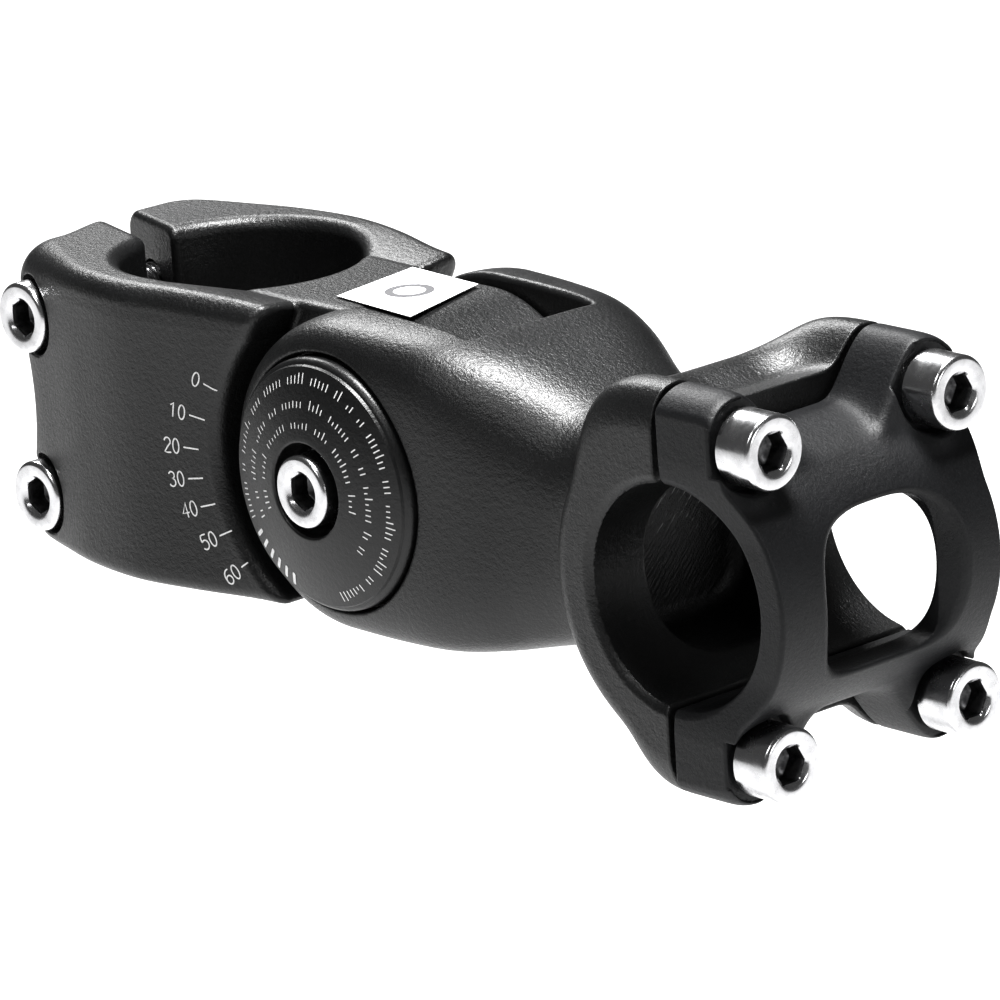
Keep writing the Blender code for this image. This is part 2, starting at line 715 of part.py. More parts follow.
def main():
    clear_scene()
    black = finish("black_anodised_aluminium", (0.025, 0.025, 0.027), 0.42, 0.9)
    cap_black = finish("cap_anodised_aluminium", (0.02, 0.02, 0.021), 0.38, 0.9)
    bright = finish("bright_steel", (0.80, 0.80, 0.82), 0.16, 1.0)
    zinc = finish("zinc_plated_steel", (0.62, 0.61, 0.60), 0.30, 1.0)

    tilt_axis = bpy.data.objects.new("tilt_axis", None)
    bpy.context.scene.collection.objects.link(tilt_axis)
    tilt_axis.location = (PIVOT_X, 0.0, 0.0)

    steerer_clamp(None, black)
    tilt_arm(tilt_axis, black)
    faceplate(tilt_axis, black)

    for y, z, tag in screw_places():
        place_x = BAR_X + SEAT_X + 0.1 * MM
        location = (place_x, y, BAR_Z + z)
        turn = (0.0, math.radians(90), 0.0)
        screw("faceplate_bolt_" + tag, FACEPLATE_SCREW_LENGTH, bright, tilt_axis, location, turn)

    head_up = (math.radians(90), 0.0, 0.0)
    for z, level in ((PINCH_Z, "upper"), (-PINCH_Z, "lower")):
        location = (PINCH_X, -PINCH_SEAT_Y - 0.1 * MM, z)
        screw("pinch_bolt_" + level, PINCH_SCREW_LENGTH, bright, None, location, head_up)

    location = (PIVOT_X, -(PIVOT_BOLT_FACE_Y - SCREW_HEAD_HEIGHT), 0.0)
    screw("pivot_bolt", PIVOT_SCREW_LENGTH - 1 * MM, bright, tilt_axis, location, head_up)
    pivot_nut(bright, tilt_axis)
    seat = PIVOT_BOLT_FACE_Y - SCREW_HEAD_HEIGHT - 0.1 * MM
    washer("pivot_washer_right", -seat, 0.5 * MM, zinc, tilt_axis)
    washer("pivot_washer_left", seat, 0.5 * MM, zinc, tilt_axis)
    pivot_cap(-1, cap_black, tilt_axis)
    pivot_cap(1, cap_black, tilt_axis)
    pivot_sleeve(zinc, None)

    for side, tag in ((-1, "right"), (1, "left")):
        base = side * (TONGUE_HALF_WIDTH - RING_DEPTH + 0.2 * MM)
        face = side * (TONGUE_HALF_WIDTH - 0.02 * MM)
        ring = grip_ring("tongue_ring_" + tag, base, face, zinc)
        place(ring, None)
        base = side * (SLOT_HALF_WIDTH + RING_DEPTH - 0.2 * MM)
        face = side * (SLOT_HALF_WIDTH + 0.02 * MM)
        ring = grip_ring("fork_ring_" + tag, base, face, zinc)
        place_at_axis(ring, tilt_axis)


main()
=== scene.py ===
"""Looks for the adjustable handlebar stem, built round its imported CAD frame.

The three forgings are made as distance fields in millimetres, meshed finely and laid exactly on their
surfaces, so that every edge has its real rounding. Screws, caps and washers are turned.
"""

import json
import math

import bpy
import numpy as np
from mathutils import Matrix, Vector


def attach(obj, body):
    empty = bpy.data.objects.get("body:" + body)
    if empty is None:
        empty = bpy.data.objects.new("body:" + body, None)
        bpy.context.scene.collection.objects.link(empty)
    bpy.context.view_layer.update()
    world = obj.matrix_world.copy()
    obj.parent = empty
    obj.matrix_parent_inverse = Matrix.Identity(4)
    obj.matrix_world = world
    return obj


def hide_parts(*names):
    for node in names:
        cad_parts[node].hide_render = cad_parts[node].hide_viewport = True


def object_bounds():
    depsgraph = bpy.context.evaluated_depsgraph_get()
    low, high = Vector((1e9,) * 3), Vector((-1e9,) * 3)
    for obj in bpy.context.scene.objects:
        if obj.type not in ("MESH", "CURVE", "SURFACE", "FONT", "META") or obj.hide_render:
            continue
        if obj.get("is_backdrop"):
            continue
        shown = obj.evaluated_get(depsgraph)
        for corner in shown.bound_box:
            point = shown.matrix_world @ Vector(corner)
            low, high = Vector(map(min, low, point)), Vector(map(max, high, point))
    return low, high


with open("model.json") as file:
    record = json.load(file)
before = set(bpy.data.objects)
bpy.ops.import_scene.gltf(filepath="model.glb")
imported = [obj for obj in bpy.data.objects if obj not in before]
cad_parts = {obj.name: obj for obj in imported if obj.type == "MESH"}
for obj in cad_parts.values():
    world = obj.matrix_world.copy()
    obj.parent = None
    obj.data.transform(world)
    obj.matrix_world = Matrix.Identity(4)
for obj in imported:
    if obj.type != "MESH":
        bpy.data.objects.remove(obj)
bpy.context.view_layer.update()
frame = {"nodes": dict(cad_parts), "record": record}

MM = 0.001
STEP = 0.25  # mesh pitch of the forgings, mm

TILT = frame["record"]["behaviour"]["joints"][0]
PIVOT_X = TILT["pos_m"][0] / MM
TILT_MAX = math.radians(TILT["range_deg"][1])

# Steerer clamp, mm
BORE_R = 14.3
TOP, BOTTOM, TONGUE_TOP = 18.9, -17.3, 17.8
SHOULDER_W, TONGUE_W, TONGUE_R = 16.0, 9.0, 17.55
WAIST = 0.45  # how far the side walls hollow at mid height
DIP_W, DIP_FALL = 9.6, 0.37  # half width and side slope of the dip behind the tongue
RELIEF_R, STOP_GAP = 20.2, 1.0
HOLLOW_X, HOLLOW_R = -37.4, 14.0  # the hollow between the pinch screws
PINCH_X, PINCH_Z, PINCH_SEAT, PINCH_DEEP = -20.9, 11.0, 12.2, 12.5
SLIT_START, SLIT_SLANT, SLIT_W = (-14.2, -0.4), math.radians(15), 1.7

# Tilting arm, mm
EAR_R, EAR_W, EAR_POWER = 18.7, 18.0, 7.0
SLOT_W, SLOT_R, SLOT_TOP = 9.35, 19.4, math.radians(32)
NECK_START, NECK_END = 66.0, 82.0  # where the neck and the handlebar clamp run into each other
RECESS_W, RECESS_H, RECESS_BACK = 10.2, 10.6, 71.5
CAP_POCKET_Y, CAP_R = 15.0, 14.8
RING_R, RING_DEPTH, SLEEVE_R = 12.0, 1.5, 6.0
SEAT_GAP = 0.3  # room round the caps, the grip rings and the sleeve

# Handlebar clamp, mm
BAR_X, BAR_Z, BAR_R, BAR_W, BAR_CHAMFER = 91.0, -3.0, 12.7, 18.6, 0.7
SEAM_BACK, SEAM_FRONT = -1.6, -0.8
LUG_Y, LUG_Z, LUG_R = 14.1, 17.5, 5.7
VALLEY_Y, VALLEY_Z = 3.0, 13.0
REAR_R, REAR_TOP, REAR_FOOT = 19.3, 15.5, 10.5
PLATE_R, PLATE_FRONT = 16.3, 8.8
PLATE_WAIST_LEFT, PLATE_WAIST_RIGHT = 2.6, 1.0
WINDOW, WINDOW_FLARE = 8.9, 3.6
SEAT_X, SEAT_R, TAPPED = 7.3, 5.0, 16.0

# M5 screws, mm
HEAD_R, HEAD_H, HEAD_EDGE, HOLE_R = 4.25, 5.0, 0.55, 2.75
HEX_FLAT, HEX_DEEP, HEX_ROUNDING = 2.0, 2.9, 0.12
THREAD_R, THREAD_DEEP, PITCH = 2.45, 0.42, 0.8
SIDES = 96  # of the small turned pieces
BOLT_FACE = 21.9  # top of the cross bolt's head and of its nut, from the middle
NUT_START, NUT_R = 13.0, 2.4

# Caps and washers of the pivot, mm
CAP_EDGE, CAP_RIM, CAP_BORE, CAP_FLOOR = 17.9, 21.1, 5.5, 16.2
CAP_STEP = 0.75  # rise of the dome's rim above the cap's edge
WASHER_LOW, WASHER_HIGH = 16.3, 16.8


# Distance fields: negative inside, in millimetres


def both(a, b, r):
    """Where two shapes overlap, with the edge between them rounded to radius r."""
    return np.minimum(np.maximum(a, b), -r) + np.hypot(np.maximum(a + r, 0), np.maximum(b + r, 0))


def either(a, b, r):
    """Two shapes as one, with the corner between them filled to radius r."""
    return -both(-a, -b, r)


def carve(a, b, r):
    """The first shape less the second, with the edge rounded to radius r."""
    return both(a, -b, r)


def ease(value, low, high):
    """A smooth step from 0 at low to 1 at high."""
    t = np.clip((value - low) / (high - low), 0, 1)
    return t * t * (3 - 2 * t)


def catmull(rows, steps):
    """Points along a smooth open curve through rows of numbers."""
    rows = np.array(rows, float)
    found = []
    for i in range(len(rows) - 1):
        p = [rows[min(max(i + k, 0), len(rows) - 1)] for k in (-1, 0, 1, 2)]
        for t in np.arange(steps) / steps:
            cubic = (3 * p[1] - p[0] - 3 * p[2] + p[3]) * t**3
            square = (2 * p[0] - 5 * p[1] + 4 * p[2] - p[3]) * t * t
            found.append(0.5 * (2 * p[1] + (p[2] - p[0]) * t + square + cubic))
    return np.array(found + [rows[-1]])


class Outline:
    """Signed distance to a closed outline in the plane, looked up in a fine table."""

    def __init__(self, points, low, high, step=0.1):
        self.low, self.step = np.array(low, float), step
        gx = np.arange(low[0], high[0], step)
        gy = np.arange(low[1], high[1], step)
        px, py = np.meshgrid(gx, gy, indexing="ij")
        nearest = np.full(px.shape, 1e9)
        inside = np.zeros(px.shape, bool)
        for a, b in zip(points, np.roll(points, -1, axis=0)):
            d = b - a
            t = np.clip(((px - a[0]) * d[0] + (py - a[1]) * d[1]) / (d @ d), 0, 1)
            nearest = np.minimum(nearest, np.hypot(px - a[0] - t * d[0], py - a[1] - t * d[1]))
            if a[1] != b[1]:
                crosses = (py > min(a[1], b[1])) & (py <= max(a[1], b[1]))
                inside ^= crosses & (px < a[0] + (py - a[1]) * d[0] / d[1])
        self.table = np.where(inside, -nearest, nearest)

    def __call__(self, x, y):
        u = (x - self.low[0]) / self.step
        v = (y - self.low[1]) / self.step
        u = np.clip(u, 0, self.table.shape[0] - 1.001)
        v = np.clip(v, 0, self.table.shape[1] - 1.001)
        i, j = u.astype(int), v.astype(int)
        u, v = u - i, v - j
        t = self.table
        low = t[i, j] * (1 - u) + t[i + 1, j] * u
        return low * (1 - v) + (t[i, j + 1] * (1 - u) + t[i + 1, j + 1] * u) * v


def clamp_outline():
    """The clamp from above: round beside the bore, narrower at the pinch lugs and at the shoulders."""
    side = [(-27.0, 0.0), (-27.0, 7.0), (-26.6, 11.2), (-23.9, 14.4), (-17.0, 16.8), (-9.0, 18.9)]
    side += [(0.0, 19.7), (9.0, 18.4), (18.0, 16.5), (26.0, SHOULDER_W), (34.0, SHOULDER_W)]
    left = catmull(side, 8)
    right = left[::-1] * (1, -1)
    return Outline(np.vstack([left, right[:-1]]), (-34, -26), (38, 26))


clamp_wall = clamp_outline()


def steerer_clamp(x, y, z):
    """The split rear clamp with the tongue that enters the fork."""
    wide = abs(y)
    waist = WAIST * np.clip(1 - (z / 15.0) ** 2, 0, 1) * ease(x, -22, -6) * (1 - ease(x, 12, 20))
    wall = clamp_wall(x, y + 0 * x) + waist
    top = z - TOP + 0.9 * ease(x, 5, 26)
    body = both(wall, top, 2.5 + 2.2 * ease(-x, 8, 24) * ease(-y, 0, 8))
    body = both(body, BOTTOM - z, 1.6)
    body = both(body, x - (PIVOT_X - 5), 0.3)
    # Room for the ears, and for the arm's flat top at full tilt
    across = z * math.cos(TILT_MAX) - (x - PIVOT_X) * math.sin(TILT_MAX)
    along = z * math.sin(TILT_MAX) + (x - PIVOT_X) * math.cos(TILT_MAX)
    stop = np.maximum(across - (EAR_R + STOP_GAP), -along)
    relief = np.minimum(np.hypot(x - PIVOT_X, z) - RELIEF_R, stop)
    body = carve(body, both(relief, TONGUE_W - wide, 0.9), 1.5)
    # The top dips to the tongue between the shoulders
    dip = (TONGUE_TOP - z) + np.maximum(wide - DIP_W, 0) * DIP_FALL
    body = carve(body, both(dip, 3.0 - x, 1.0), 1.6)
    tongue = np.hypot(np.maximum(x - PIVOT_X, 0), z) - TONGUE_R
    tongue = both(tongue, z - TONGUE_TOP, 0.7)
    tongue = both(tongue, BOTTOM - z, 1.0)
    tongue = both(tongue, wide - TONGUE_W, 0.7)
    body = either(body, np.maximum(tongue, 2 - x), 0.9)
    # Bore, slit and the hollow between the pinch screws
    rho = np.hypot(x, y)
    body = carve(body, rho - BORE_R, np.where(z > 0, 1.7, 0.8) + 0 * x)
    out = -(x - SLIT_START[0]) * math.cos(SLIT_SLANT) + (y - SLIT_START[1]) * math.sin(SLIT_SLANT)
    side = (x - SLIT_START[0]) * math.sin(SLIT_SLANT) + (y - SLIT_START[1]) * math.cos(SLIT_SLANT)
    slit = np.maximum(abs(side) - SLIT_W, -3 - out)
    body = carve(body, slit, np.where(side < 0, 2.2, 0.9) + 0 * z)
    body = carve(body, np.hypot(x - HOLLOW_X, z) - HOLLOW_R, 1.6)
    for level in (-PINCH_Z, PINCH_Z):
        around = np.hypot(x - PINCH_X, z - level)
        body = carve(body, np.maximum(around - HEAD_R - 0.6, y + PINCH_SEAT), 0.3)
        body = carve(body, np.maximum(around - HOLE_R, y - PINCH_DEEP), 0.15)
    # Seats of the grip rings and the pivot's sleeve, hidden inside the fork
    around = np.hypot(x - PIVOT_X, z)
    seat = np.maximum(around - RING_R - SEAT_GAP, TONGUE_W - RING_DEPTH - wide)
    body = carve(body, seat, 0.1)
    return carve(body, around - SLEEVE_R - SEAT_GAP, 0.1)


# x, half width, top, bottom and squareness of the neck's sections
NECK = catmull(
    [
        (34.0, 18.0, 18.7, -18.7, EAR_POWER),
        (42.0, 18.1, 18.6, -19.0, 6.0),
        (49.0, 17.8, 18.2, -19.0, 5.2),
        (55.0, 16.6, 16.7, -18.3, 4.4),
        (61.0, 14.5, 14.1, -17.2, 3.6),
        (67.0, 13.0, 11.7, -16.2, 3.1),
        (73.0, 13.2, 11.7, -15.8, 3.0),
        (82.0, 14.2, 12.8, -16.0, 3.0),
    ],
    8,
)


def neck(x, y, z):
    """A squarish tube through the sections of NECK."""
    half, top, bottom, power = (np.interp(x, NECK[:, 0], NECK[:, k]) for k in (1, 2, 3, 4))
    middle, high = (top + bottom) / 2, (top - bottom) / 2
    reach = (abs(y) / half) ** power + (abs(z - middle) / high) ** power
    return (reach ** (1 / power) - 1) * np.minimum(half, high)


def drum(x, y, z):
    """The fork's round end about the pivot, with soft rims."""
    around = np.hypot(x - PIVOT_X, z)
    reach = (around / EAR_R) ** EAR_POWER + (abs(y) / EAR_W) ** EAR_POWER
    return (reach ** (1 / EAR_POWER) - 1) * EAR_W


def lug_height(y):
    """Height of the bar clamp's wavy top: a lug over each screw and a valley between."""
    wide = abs(y)
    climb = np.clip((wide - VALLEY_Y) / (LUG_Y - VALLEY_Y), 0, 1)
    inner = VALLEY_Z + (LUG_Z + LUG_R - VALLEY_Z) * (1 - np.cos(np.pi * climb)) / 2
    outer = LUG_Z + np.sqrt(np.maximum(LUG_R**2 - (wide - LUG_Y) ** 2, 0))
    return np.where(wide >= LUG_Y, outer, inner)


def ring_or_lug(c, s, ring, lug_x, lug_z, power):
    """Reach of the clamp's outline in the direction c, s: a ring, or a squarish lug where that is further."""
    box = (abs(c) / lug_x) ** power + (abs(s) / lug_z) ** power
    box = np.maximum(box, 1e-30) ** (-1 / power)
    return (ring**20 + box**20) ** (1 / 20)


def polar(x, z):
    """Distance from the handlebar's axis, and the direction as a cosine and a sine."""
    dx, dz = x - BAR_X, z - BAR_Z
    rho = np.maximum(np.hypot(dx, dz), 1e-6)
    return rho, dx / rho, dz / rho


def bar_bore(rho, y):
    """The handlebar's bore, chamfered at both ends."""
    return rho - BAR_R - np.maximum(abs(y) - (BAR_W - BAR_CHAMFER), 0)


def rear_half(x, y, z):
    """The arm's half of the handlebar clamp, and the distance from the handlebar's axis."""
    rho, c, s = polar(x, z)
    height = lug_height(y)
    peak = LUG_Z + LUG_R
    full = np.where(abs(y) > LUG_Y, height, peak)
    upper = height + (full - height) * ease(abs(c), 0.1, 0.6)
    above = ring_or_lug(c, s, REAR_R, REAR_TOP, upper, 4.0)
    below = ring_or_lug(c, s, REAR_R, REAR_FOOT, height, 3.0)
    body = (rho - below + (below - above) * ease(s, -0.25, 0.25)) * 0.9
    body = both(body, abs(y) - BAR_W, 2.6)
    return body, rho


def tilt_arm(x, y, z):
    """Fork, neck and rear half of the handlebar clamp, in one forging."""
    wide = abs(y)
    body = np.where(x < PIVOT_X, drum(x, y, z), neck(x, y, z))
    body = np.maximum(body, x - NECK_END)
    rear, rho = rear_half(x, y, z)
    body = either(body, np.maximum(rear, NECK_START - x), 3.0)
    body = both(body, x - (BAR_X + SEAM_BACK), 0.25)
    body = carve(body, bar_bore(rho, y), 0.45)
    # The recess bored into the neck behind the handlebar
    size = (RECESS_W + RECESS_H) / 2
    recess = ((wide / RECESS_W) ** 4 + (abs(z - BAR_Z) / RECESS_H) ** 4) ** 0.25 * size - size
    body = carve(body, both(recess, RECESS_BACK - x, 2.0), 0.35)
    # The slot that takes the tongue: round in front of the pivot, cut upright above SLOT_TOP
    around = np.hypot(x - PIVOT_X, z)
    high = SLOT_R * math.sin(SLOT_TOP)
    upright = x - (PIVOT_X + SLOT_R * math.cos(SLOT_TOP))
    lower = np.where(x > PIVOT_X, around, abs(z)) - SLOT_R
    middle = np.where(x > PIVOT_X, around - SLOT_R, -SLOT_R)
    slot = np.where(z > high, upright, np.where(z > 0, middle, lower))
    body = carve(body, both(slot, wide - SLOT_W, 0.6), 0.8)
    body = carve(body, np.maximum(around - CAP_R - SEAT_GAP, CAP_POCKET_Y - wide), 0.5)
    seat = np.maximum(around - RING_R - SEAT_GAP, wide - SLOT_W - RING_DEPTH)
    body = carve(body, seat, 0.1)
    body = carve(body, around - SLEEVE_R - SEAT_GAP, 0.1)
    for level in (-LUG_Z, LUG_Z):
        hole = np.hypot(wide - LUG_Y, z - BAR_Z - level) - HOLE_R
        body = carve(body, np.maximum(hole, BAR_X + SEAT_X - TAPPED - x), 0.1)
    return body


def faceplate(x, y, z):
    """The front half of the handlebar clamp, with its window."""
    rho, c, s = polar(x, z)
    wide = abs(y)
    surface = ring_or_lug(c, s, PLATE_R, PLATE_FRONT, lug_height(y), 10.0)
    body = (rho - surface) * 0.85
    narrow = 1.0 - ease(abs(z - BAR_Z), 7, 16)
    side = wide - BAR_W + np.where(y > 0, PLATE_WAIST_LEFT, PLATE_WAIST_RIGHT) * narrow
    body = both(body, side, 0.45)
    body = both(body, BAR_X + SEAM_FRONT - x, 0.3)
    body = carve(body, bar_bore(rho, y), 0.4)
    # The window's frame opens out towards the front
    flare = np.clip((x - BAR_X - 13.2) / 6.2, 0, 1.4) * WINDOW_FLARE
    height = z - BAR_Z
    power = np.where(height > 0, 3.2, 6.0)
    size = WINDOW + flare
    window = (((wide / size) ** power + (abs(height) / size) ** power) ** (1 / power) - 1) * size
    body = carve(body, np.maximum(window, BAR_X + 3 - x), 0.7)
    for level in (-LUG_Z, LUG_Z):
        around = np.hypot(wide - LUG_Y, height - level)
        body = carve(body, around - HOLE_R, 0.1)
        body = carve(body, np.maximum(around - SEAT_R, BAR_X + SEAT_X - x), 0.35)
    return body


# Meshing


def mesh_field(field, low, high, step):
    """Vertices and quads where the field is zero."""
    axes = [np.arange(a, b + step, step) for a, b in zip(low, high)]
    gx, gy, gz = axes[0][:, None, None], axes[1][None, :, None], axes[2][None, None, :]
    values = np.empty([len(a) for a in axes], np.float32)
    for start in range(0, len(axes[0]), 24):
        part = slice(start, start + 24)
        values[part] = field(gx[part], gy, gz)
    inside = values < 0
    shape = np.array(values.shape) - 1
    count = np.zeros(shape, np.int8)
    corners = [np.array((i, j, k)) for i in (0, 1) for j in (0, 1) for k in (0, 1)]
    for i, j, k in corners:
        count += inside[i : shape[0] + i, j : shape[1] + j, k : shape[2] + k]
    active = (count > 0) & (count < 8)
    cells = np.argwhere(active)
    index = np.full(active.shape, -1, np.int32)
    index[active] = np.arange(len(cells))
    total, number = np.zeros((len(cells), 3)), np.zeros(len(cells))
    for corner in corners:
        for axis in np.flatnonzero(corner == 0):
            other = corner.copy()
            other[axis] = 1
            a = values[tuple((cells + corner).T)].astype(float)
            b = values[tuple((cells + other).T)].astype(float)
            hit = (a < 0) != (b < 0)
            point = np.repeat(corner[None].astype(float), hit.sum(), axis=0)
            point[:, axis] = a[hit] / (a[hit] - b[hit])
            total[hit] += point
            number[hit] += 1
    points = np.array(low) + step * (cells + total / number[:, None])
    quads = []
    for axis in range(3):
        first, second = (axis + 1) % 3, (axis + 2) % 3
        low_side = [slice(None)] * 3
        high_side = [slice(None)] * 3
        low_side[axis], high_side[axis] = slice(0, -1), slice(1, None)
        starts, ends = inside[tuple(low_side)], inside[tuple(high_side)]
        edges = np.argwhere(starts != ends)
        flip = ends[tuple(edges.T)]
        corner_ids = []
        for u, v in ((-1, -1), (0, -1), (0, 0), (-1, 0)):
            at = edges.copy()
            at[:, first] += u
            at[:, second] += v
            corner_ids.append(index[tuple(at.T)])
        quad = np.stack(corner_ids, axis=1)
        quad[flip] = quad[flip][:, ::-1]
        quads.append(quad)
    return points, np.vstack(quads)


def slope_of(field, points, reach=0.02):
    slope = np.empty_like(points)
    for axis in range(3):
        offset = np.zeros(3)
        offset[axis] = reach
        ahead, behind = (points + offset).T, (points - offset).T
        slope[:, axis] = (field(*ahead) - field(*behind)) / (2 * reach)
    return slope


def settle(field, points, rounds=3):
    """Move points onto the surface, and return its normals there."""
    for _ in range(rounds):
        slope = slope_of(field, points)
        size = np.maximum((slope**2).sum(axis=1), 0.04)
        move = (field(*points.T) / size)[:, None] * slope
        points = points - np.clip(move, -0.2, 0.2)
    slope = slope_of(field, points)
    return points, slope / np.maximum(np.linalg.norm(slope, axis=1), 1e-9)[:, None]


def mesh_object(name, points, faces, normals=None):
    mesh = bpy.data.meshes.new(name)
    mesh.from_pydata((np.asarray(points) * MM).tolist(), [], np.asarray(faces).tolist())
    mesh.shade_smooth()
    if normals is not None:
        mesh.normals_split_custom_set_from_vertices(normals.tolist())
    obj = bpy.data.objects.new(name, mesh)
    bpy.context.scene.collection.objects.link(obj)
    return obj


def forging(name, field, low, high, step=STEP):
    points, quads = mesh_field(field, low, high, step)
    points, normals = settle(field, points)
    return mesh_object(name, points, quads, normals)


def skin(name, loops, sharp=30, closed=False):
    """A surface through loops of equal length; a loop of one point closes an end."""
    points, starts = [], []
    for loop in loops:
        starts.append(len(points))
        points.extend(tuple(p) for p in loop)
    faces = []
    pairs = list(zip(range(len(loops) - 1), range(1, len(loops))))
    if closed:
        pairs.append((len(loops) - 1, 0))
    for first, second in pairs:
        a, b = starts[first], starts[second]
        count = max(len(loops[first]), len(loops[second]))
        for i in range(count):
            j = (i + 1) % count
            if len(loops[first]) == 1:
                faces.append((a, b + j, b + i))
            elif len(loops[second]) == 1:
                faces.append((a + i, a + j, b))
            else:
                faces.append((a + i, a + j, b + j, b + i))
    mesh = bpy.data.meshes.new(name)
    mesh.from_pydata((np.array(points) * MM).tolist(), [], faces)
    mesh.shade_smooth()
    mesh.set_sharp_from_angle(angle=math.radians(sharp))
    mesh.calc_loop_triangles()
    volume = 0.0
    for triangle in mesh.loop_triangles:
        a, b, c = (mesh.vertices[i].co for i in triangle.vertices)
        volume += a.dot(b.cross(c))
    if volume < 0:
        mesh.flip_normals()
    obj = bpy.data.objects.new(name, mesh)
    bpy.context.scene.collection.objects.link(obj)
    return obj


def round_corner(centre, radius, start, end, steps):
    """(radius, height) points of an arc in a turned profile, angles in degrees."""
    angles = np.radians(np.linspace(start, end, steps))
    return [(centre[0] + radius * math.cos(a), centre[1] + radius * math.sin(a)) for a in angles]


def loop_of(radius, height, sides=SIDES):
    """A loop about local Z; radius may be a function of the angle."""
    found = []
    for i in range(sides):
        angle = 2 * math.pi * i / sides
        reach = radius(angle) if callable(radius) else radius
        found.append((reach * math.cos(angle), reach * math.sin(angle), height))
    return found


def turned(name, profile, sides=SIDES):
    return skin(name, [loop_of(r, h, sides) for r, h in profile], closed=True)


# Materials


class Look:
    """A node material built from short calls; a value may be a number or a socket, and lengths are metres."""

    def __init__(self, name, base, rough, metallic):
        self.material = bpy.data.materials.new(name)
        self.material.use_nodes = True
        self.tree = self.material.node_tree
        self.shader = self.tree.nodes["Principled BSDF"]
        self.shader.inputs["Metallic"].default_value = metallic
        self.shader.inputs["Base Color"].default_value = (*base, 1)
        self.shader.inputs["Roughness"].default_value = rough
        self.place = self.tree.nodes.new("ShaderNodeTexCoord").outputs["Object"]
        self.material.diffuse_color = (*base, 1)

    def put(self, socket, value):
        if isinstance(value, bpy.types.NodeSocket):
            self.tree.links.new(value, socket)
        else:
            socket.default_value = value

    def node(self, kind, **inputs):
        made = self.tree.nodes.new(kind)
        for name, value in inputs.items():
            self.put(made.inputs[name], value)
        return made

    def noise(self, scale, detail, rough, at=None):
        made = self.node("ShaderNodeTexNoise", Scale=scale, Detail=detail, Roughness=rough)
        self.put(made.inputs["Vector"], at or self.place)
        return made.outputs["Fac"]

    def sparkle(self, scale):
        return self.node("ShaderNodeTexVoronoi", Scale=scale, Vector=self.place).outputs["Distance"]

    def ramp(self, value, low, high, out_low=0.0, out_high=1.0):
        made = self.tree.nodes.new("ShaderNodeMapRange")
        made.interpolation_type = "SMOOTHSTEP"
        names = ("Value", "From Min", "From Max", "To Min", "To Max")
        for name, number in zip(names, (value, low, high, out_low, out_high)):
            self.put(made.inputs[name], number)
        return made.outputs["Result"]

    def math(self, kind, a, b=0.0):
        made = self.tree.nodes.new("ShaderNodeMath")
        made.operation = kind
        self.put(made.inputs[0], a)
        self.put(made.inputs[1], b)
        return made.outputs[0]

    def times(self, value, *factors):
        for factor in factors:
            value = self.math("MULTIPLY", value, factor)
        return value

    def mix(self, factor, a, b):
        """Mix two colours."""
        made = self.tree.nodes.new("ShaderNodeMix")
        made.data_type = "RGBA"
        self.put(made.inputs["Factor"], factor)
        for socket, value in ((made.inputs["A"], a), (made.inputs["B"], b)):
            self.put(socket, value if isinstance(value, bpy.types.NodeSocket) else (*value, 1))
        return made.outputs["Result"]

    def stretched(self, factors):
        """The object's coordinates, scaled along each axis."""
        made = self.tree.nodes.new("ShaderNodeMapping")
        self.put(made.inputs["Vector"], self.place)
        made.inputs["Scale"].default_value = factors
        return made.outputs["Vector"]

    def axes(self):
        made = self.node("ShaderNodeSeparateXYZ", Vector=self.place)
        return made.outputs["X"], made.outputs["Y"], made.outputs["Z"]

    def from_axis(self, centre, axes="XZ"):
        """Distance from an axis that runs along the third direction."""
        parts = dict(zip("XYZ", self.axes()))
        a = self.math("SUBTRACT", parts[axes[0]], centre[0])
        b = self.math("SUBTRACT", parts[axes[1]], centre[1])
        return self.math("SQRT", self.math("ADD", self.times(a, a), self.times(b, b)))

    def bump(self, height, distance, strength, after=None):
        made = self.node("ShaderNodeBump", Height=height, Distance=distance, Strength=strength)
        if after:
            self.put(made.inputs["Normal"], after)
        return made.outputs["Normal"]

    def finish(self, base, rough, normal):
        for name, value in (("Base Color", base), ("Roughness", rough), ("Normal", normal)):
            self.put(self.shader.inputs[name], value)
        return self.material


def scaled(colour, factor):
    return tuple(factor * c for c in colour)


def bore_marks_and_highlights(look, light, tone, normal):
    """Turning marks round the handlebar's bore, with painted highlights along some of them."""
    across = look.from_axis((BAR_X * MM, BAR_Z * MM))
    inside = look.ramp(across, (BAR_R - 0.2) * MM, (BAR_R + 0.1) * MM, 1.0, 0.0)
    marks = look.noise(1.0, 2.0, 0.6, look.stretched((260.0, 3600.0, 260.0)))
    normal = look.bump(look.times(marks, inside), 0.1 * MM, 0.8, normal)
    # Painted highlight: the brightest marks are raised to five times the light tone in the base colour.
    shine = look.times(look.ramp(marks, 0.58, 0.72, 0.0, 0.8), inside)
    return look.mix(shine, tone, scaled(light, 5)), normal


